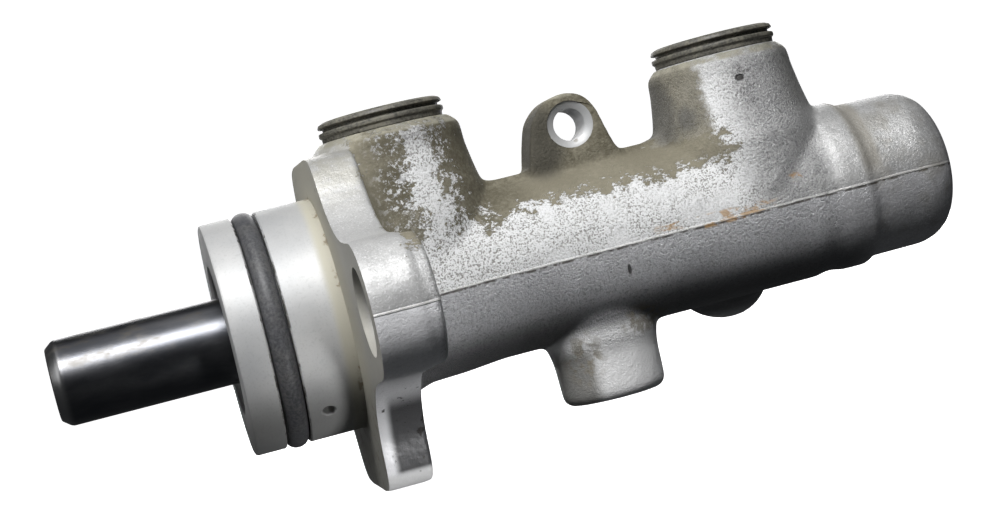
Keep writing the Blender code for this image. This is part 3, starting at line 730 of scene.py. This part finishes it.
cuts.append(cutter("lug_hole", moved(spun([
    (-6.0, 0.0), (-6.0, 3.95), (-4.5, LUG_RING_R), (-4.15, 3.1), (-3.9, LUG_HOLE_R), (3.9, LUG_HOLE_R),
    (4.15, 3.1), (4.5, LUG_RING_R), (6.0, 3.95), (6.0, 0.0)], 96),
    ACROSS, shifted(LUG_HOLE[0], 0.0, LUG_HOLE[1]))))
cuts.append(cutter("lug_spot", moved(spun([
    (-6.0, 0.0), (-6.0, 4.75), (-4.5, 4.65), (-4.5, 0.0)], 96),
    ACROSS, shifted(LUG_SPOT[0], 0.0, LUG_SPOT[1]))))
boolean(body, cuts, "DIFFERENCE")


def sort_faces(mesh):
    """Gives the machining material to the faces that a tool has cut, told by where they lie."""
    centre = np.empty(len(mesh.polygons) * 3)
    mesh.polygons.foreach_get("center", centre)
    p = centre.reshape(-1, 3) / MM
    cut = (p[:, 0] < 0.02) | (np.hypot(p[:, 1], p[:, 2]) < GUIDE_R + 0.2) & (p[:, 0] < 97.0)
    for x, *_ in PORTS:
        off = np.hypot(p[:, 0] - x, p[:, 1])
        cut |= (off < SEAT_R + 1.0) & (p[:, 2] > 9.0)
    for y in STUDS:
        cut |= np.hypot(p[:, 1] - y, p[:, 2]) < STUD_HOLE_R + 0.4
    for x, tilt, end in OUTLETS:
        way = np.array([0.0, math.sin(math.radians(tilt)), -math.cos(math.radians(tilt))])
        along = (p - [x, 0.0, 0.0]) @ way
        off = np.linalg.norm(p - [x, 0.0, 0.0] - along[:, None] * way, axis=1)
        cut |= (off < 5.6) & (along > 8.0) | (along > end - 0.05) & (off < 12.0)
    around = np.hypot(p[:, 0] - LUG_HOLE[0], p[:, 2] - LUG_HOLE[1])
    cut |= (around < LUG_RING_R + 0.05) & (np.abs(p[:, 1]) < 4.54)
    mesh.materials.clear()
    mesh.materials.append(CAST)
    mesh.materials.append(MACHINED)
    mesh.polygons.foreach_set("material_index", cut.astype(np.int32))
    mesh.shade_smooth()
    mesh.set_sharp_from_angle(angle=math.radians(32.0))


sort_faces(body.data)
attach(body, "housing")
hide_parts("cylinder_body")


# ================================================================ turned and pressed pieces
def piece(node, obj, body_name):
    """The object rides on its body and stands for the CAD node, which is hidden."""
    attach(obj, body_name)
    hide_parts(node)


def turned(node, profile, look, body_name, steps=144, place=ALONG):
    """A piece from (height, radius) points, turned round the bore axis unless place says otherwise."""
    piece(node, made(node + "_surface", moved(spun(profile, steps), place), [look]), body_name)


def lip_ring(node, first, last, inner, outer, faces_front):
    """A cup-section seal: a heel, and two lips with rounded tips."""
    heel, tip = (first, last) if faces_front else (last, first)
    way, lip, middle = (1.0 if faces_front else -1.0), 0.28 * (outer - inner), (inner + outer) / 2
    floor = heel + way * 0.45 * (last - first)
    turned(node, rounded([
        (heel, inner + 0.15), (heel, outer - 0.2), (tip - way * 0.5, outer), (tip, outer - lip),
        (floor, middle + 0.25 * lip), (floor, middle - 0.25 * lip), (tip, inner + lip),
        (tip - way * 0.5, inner)],
        {0: 0.3, 1: 0.3, 2: 0.3, 3: 0.2, 4: 0.25, 5: 0.25, 6: 0.2, 7: 0.3}), SEAL, "housing")


TAIL_R = 7.0
turned("primary_piston", rounded([
    (-26.0, 0.0), (-24.0, 4.6), (-45.6, 4.6), (-46.2, 5.2), (-46.2, 5.8), (-44.7, TAIL_R), (1.2, TAIL_R),
    (1.2, 8.9), (1.8, 9.48), (28.7, 9.48), (29.3, 8.9), (29.3, 7.3), (28.7, 6.9), (8.3, 6.9), (8.3, 1.8),
    (4.3, 1.8), (4.3, 0.0)], {4: 0.8, 5: 1.6}), ROD, "primary", 192)
turned("flange_o_ring", [(-11.05 + 1.78 * math.cos(a), 17.95 + 1.43 * math.sin(a))
                         for a in np.linspace(0.0, 2 * math.pi, 28, endpoint=False)],
       O_RING, "housing", 240)
for label, (x, top, width) in zip(("primary", "secondary"), PORTS):
    turned(label + "_grommet", rounded([
        (16.2, 5.6), (16.2, 8.6), (17.4, 9.2), (top + 0.62, 9.2), (top + 0.62, 10.0), (top + 1.4, 10.05),
        (top + 1.7, 10.4), (top + 2.35, 10.4), (top + 2.45, 9.6), (top + 2.9, 9.6), (top + 3.1, 10.4),
        (top + 3.7, 10.15), (top + 4.0, 9.5), (top + 4.0, 7.5), (top + 2.2, 5.6)],
        {4: 0.3, 5: 0.25, 6: 0.3, 7: 0.3, 8: 0.15, 9: 0.15, 10: 0.2, 11: 0.3, 12: 0.3, 13: 0.5, 14: 0.8}),
        GROMMET, "housing", 144, shifted(x=x))
turned("stop_washer", rounded([(-14.6, 7.6), (-14.6, 11.7), (-13.4, 11.7), (-13.4, 7.6)], {0: 0.3, 1: 0.3}),
       ZINC, "housing", 128)
turned("guide_bush", rounded([
    (-13.1, 9.8), (-13.1, 11.8), (-4.9, 11.8), (-4.9, 10.3), (-3.1, 10.3), (-3.1, 11.8), (0.8, 11.8),
    (0.8, 9.8), (-2.8, 9.8), (-2.8, 7.05), (-5.0, 7.05), (-5.0, 8.2), (-6.8, 8.2), (-6.8, 7.05),
    (-9.9, 7.05), (-9.9, 9.8)], {0: 0.2, 1: 0.4, 6: 0.4, 7: 0.2}), NYLON, "housing")
turned("bush_o_ring", [(-4.0 + 0.77 * math.cos(a), 11.13 + 0.77 * math.sin(a))
                       for a in np.linspace(0.0, 2 * math.pi, 20, endpoint=False)],
       SEAL, "housing")
lip_ring("vacuum_seal", -12.9, -10.2, 7.05, 9.65, False)
lip_ring("rod_seal", -2.5, 0.6, 7.05, 9.65, True)
for node, low, high in (("primary_main_seal", 23.2, 26.2), ("separating_seal", 50.4, 53.2),
                        ("secondary_main_seal", 59.4, 62.6)):
    lip_ring(node, low, high, BORE_R, 11.55, True)

# the retaining ring: a flat ring, two ears with an eye each, and the gap between them
REAR, FRONT = -16.08, -15.12
EARS = (-2.9, 2.9)
ring = made("retaining_ring_surface", moved(spun(rounded([
    (REAR, 10.9), (REAR, 12.78), (FRONT, 12.78), (FRONT, 10.9)], {0: 0.15, 1: 0.15, 2: 0.15, 3: 0.15}),
    144), ALONG), [ZINC])
boolean(ring, [cutter("ring_ear", moved(plug(REAR, FRONT, 1.7, 48), ALONG, shifted(0.0, y, -10.6)))
               for y in EARS], "UNION")
gap = slab([(-1.1, -14.0), (1.1, -14.0), (1.1, -8.0), (-1.1, -8.0)], -17.0, -14.2, "X")
boolean(ring, [cutter("ring_gap", gap)]
        + [cutter("ring_eye", moved(plug(-17.0, -14.2, 0.8, 32), ALONG, shifted(0.0, y, -10.6)))
           for y in EARS], "DIFFERENCE")
piece("retaining_ring", ring, "housing")

WIRE_R, COIL_R = 0.9, 5.75
PER_TURN, ROUND = 32, 12


def spring(node, body_name, first, last, turns):
    """A coil with closed end turns. It rides on the piston that it is attached to."""
    bm = bmesh.new()
    rings = []
    low, high, closed = first + WIRE_R, last - WIRE_R, 2.15 * WIRE_R
    for step in range(int(turns * PER_TURN) + 1):
        turn = step / PER_TURN
        if turn < 1.0:
            x = low + closed * turn
        elif turn > turns - 1.0:
            x = high - closed * (turns - turn)
        else:
            x = low + closed + (high - low - 2 * closed) * (turn - 1.0) / (turns - 2.0)
        angle = 2 * math.pi * turn
        section = []
        for a in np.linspace(0.0, 2 * math.pi, ROUND, endpoint=False):
            out = COIL_R + WIRE_R * math.cos(a)
            section.append(bm.verts.new((
                x + WIRE_R * math.sin(a), out * math.cos(angle), out * math.sin(angle))))
        rings.append(section)
    for here, there in zip(rings, rings[1:]):
        for side in range(ROUND):
            after = (side + 1) % ROUND
            bm.faces.new((here[side], there[side], there[after], here[after]))
    bm.faces.new(rings[0])
    bm.faces.new(rings[-1])
    bmesh.ops.recalc_face_normals(bm, faces=bm.faces)
    obj = made(node + "_surface", bm, [SPRING])
    piece(node, obj, body_name)
    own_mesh(obj)


spring("primary_spring", "primary", 8.6, 44.9, 8.5)
spring("secondary_spring", "floating", 54.9, 94.8, 8.5)

# CAD nodes that are shown as they are take the look of their slot
looks = {"cast_aluminium": CAST, "polished_steel": ROD, "anodised_aluminium": ANODISED,
         "spring_steel": SPRING, "plated_steel": ZINC, "black_rubber": SEAL, "dusty_rubber": GROMMET,
         "black_nylon": NYLON}
finish_of = {row["node"]: row["material_slot"] for row in frame["record"]["subparts"]}
for name, obj in frame["nodes"].items():
    look = looks[finish_of[name]]
    if not obj.material_slots:
        obj.data.materials.append(look)
    for holder in obj.material_slots:
        holder.material = look

# ================================================================ stage and light
bpy.context.scene.view_settings.view_transform = "Standard"
sweep = made("floor", spun([
    (-29.8, 0.0), (-29.8, 900.0), (-20.0, 1100.0), (40.0, 1300.0), (200.0, 1500.0), (900.0, 1700.0),
    (905.0, 1720.0), (200.0, 1520.0), (35.0, 1320.0), (-30.0, 1110.0), (-40.0, 900.0), (-40.0, 0.0)], 96), [])
pale = bpy.data.materials.new("pale_floor")
pale.use_nodes = True
shader = pale.node_tree.nodes["Principled BSDF"]
shader.inputs["Base Color"].default_value = (0.82, 0.82, 0.82, 1.0)
shader.inputs["Roughness"].default_value = 0.9
shader.inputs["Emission Color"].default_value = (1.0, 1.0, 1.0, 1.0)
shader.inputs["Emission Strength"].default_value = 1.0
sweep.data.materials.append(pale)
sweep.visible_diffuse = False
sweep.visible_glossy = False
sweep.visible_shadow = False

world = bpy.data.worlds.new("studio")
bpy.context.scene.world = world
world.use_nodes = True
background = world.node_tree.nodes["Background"]
background.inputs["Color"].default_value = (0.92, 0.96, 1.0, 1.0)
background.inputs["Strength"].default_value = 0.045


def softbox(name, place, target, width, height, watts):
    """An area light at place, aimed at target, that the camera doesn't see. Distances are in metres."""
    light = bpy.data.lights.new(name, "AREA")
    light.shape = "RECTANGLE"
    light.size, light.size_y = width, height
    light.energy = watts
    obj = bpy.data.objects.new(name, light)
    bpy.context.scene.collection.objects.link(obj)
    obj.location = place
    obj.rotation_euler = (Vector(target) - Vector(place)).to_track_quat("-Z", "Y").to_euler()
    obj.visible_camera = False
    return obj


softbox("key", (-0.06, -0.34, 0.385), (0.03, 0.0, 0.0), 0.26, 0.18, 3.5)
softbox("top", (0.03, 0.02, 0.50), (0.03, 0.0, 0.0), 0.5, 0.35, 0.4)
softbox("left", (-0.42, -0.20, 0.20), (0.0, 0.0, 0.0), 0.3, 0.3, 0.5)
softbox("back", (0.12, 0.46, 0.10), (0.03, 0.0, 0.0), 0.40, 0.30, 1.5)
bounce = softbox("bounce", (0.035, -0.10, -0.075), (0.004, -0.016, -0.028), 0.02, 0.02, 0.0033)
bounce.data.spread = math.radians(34.0)
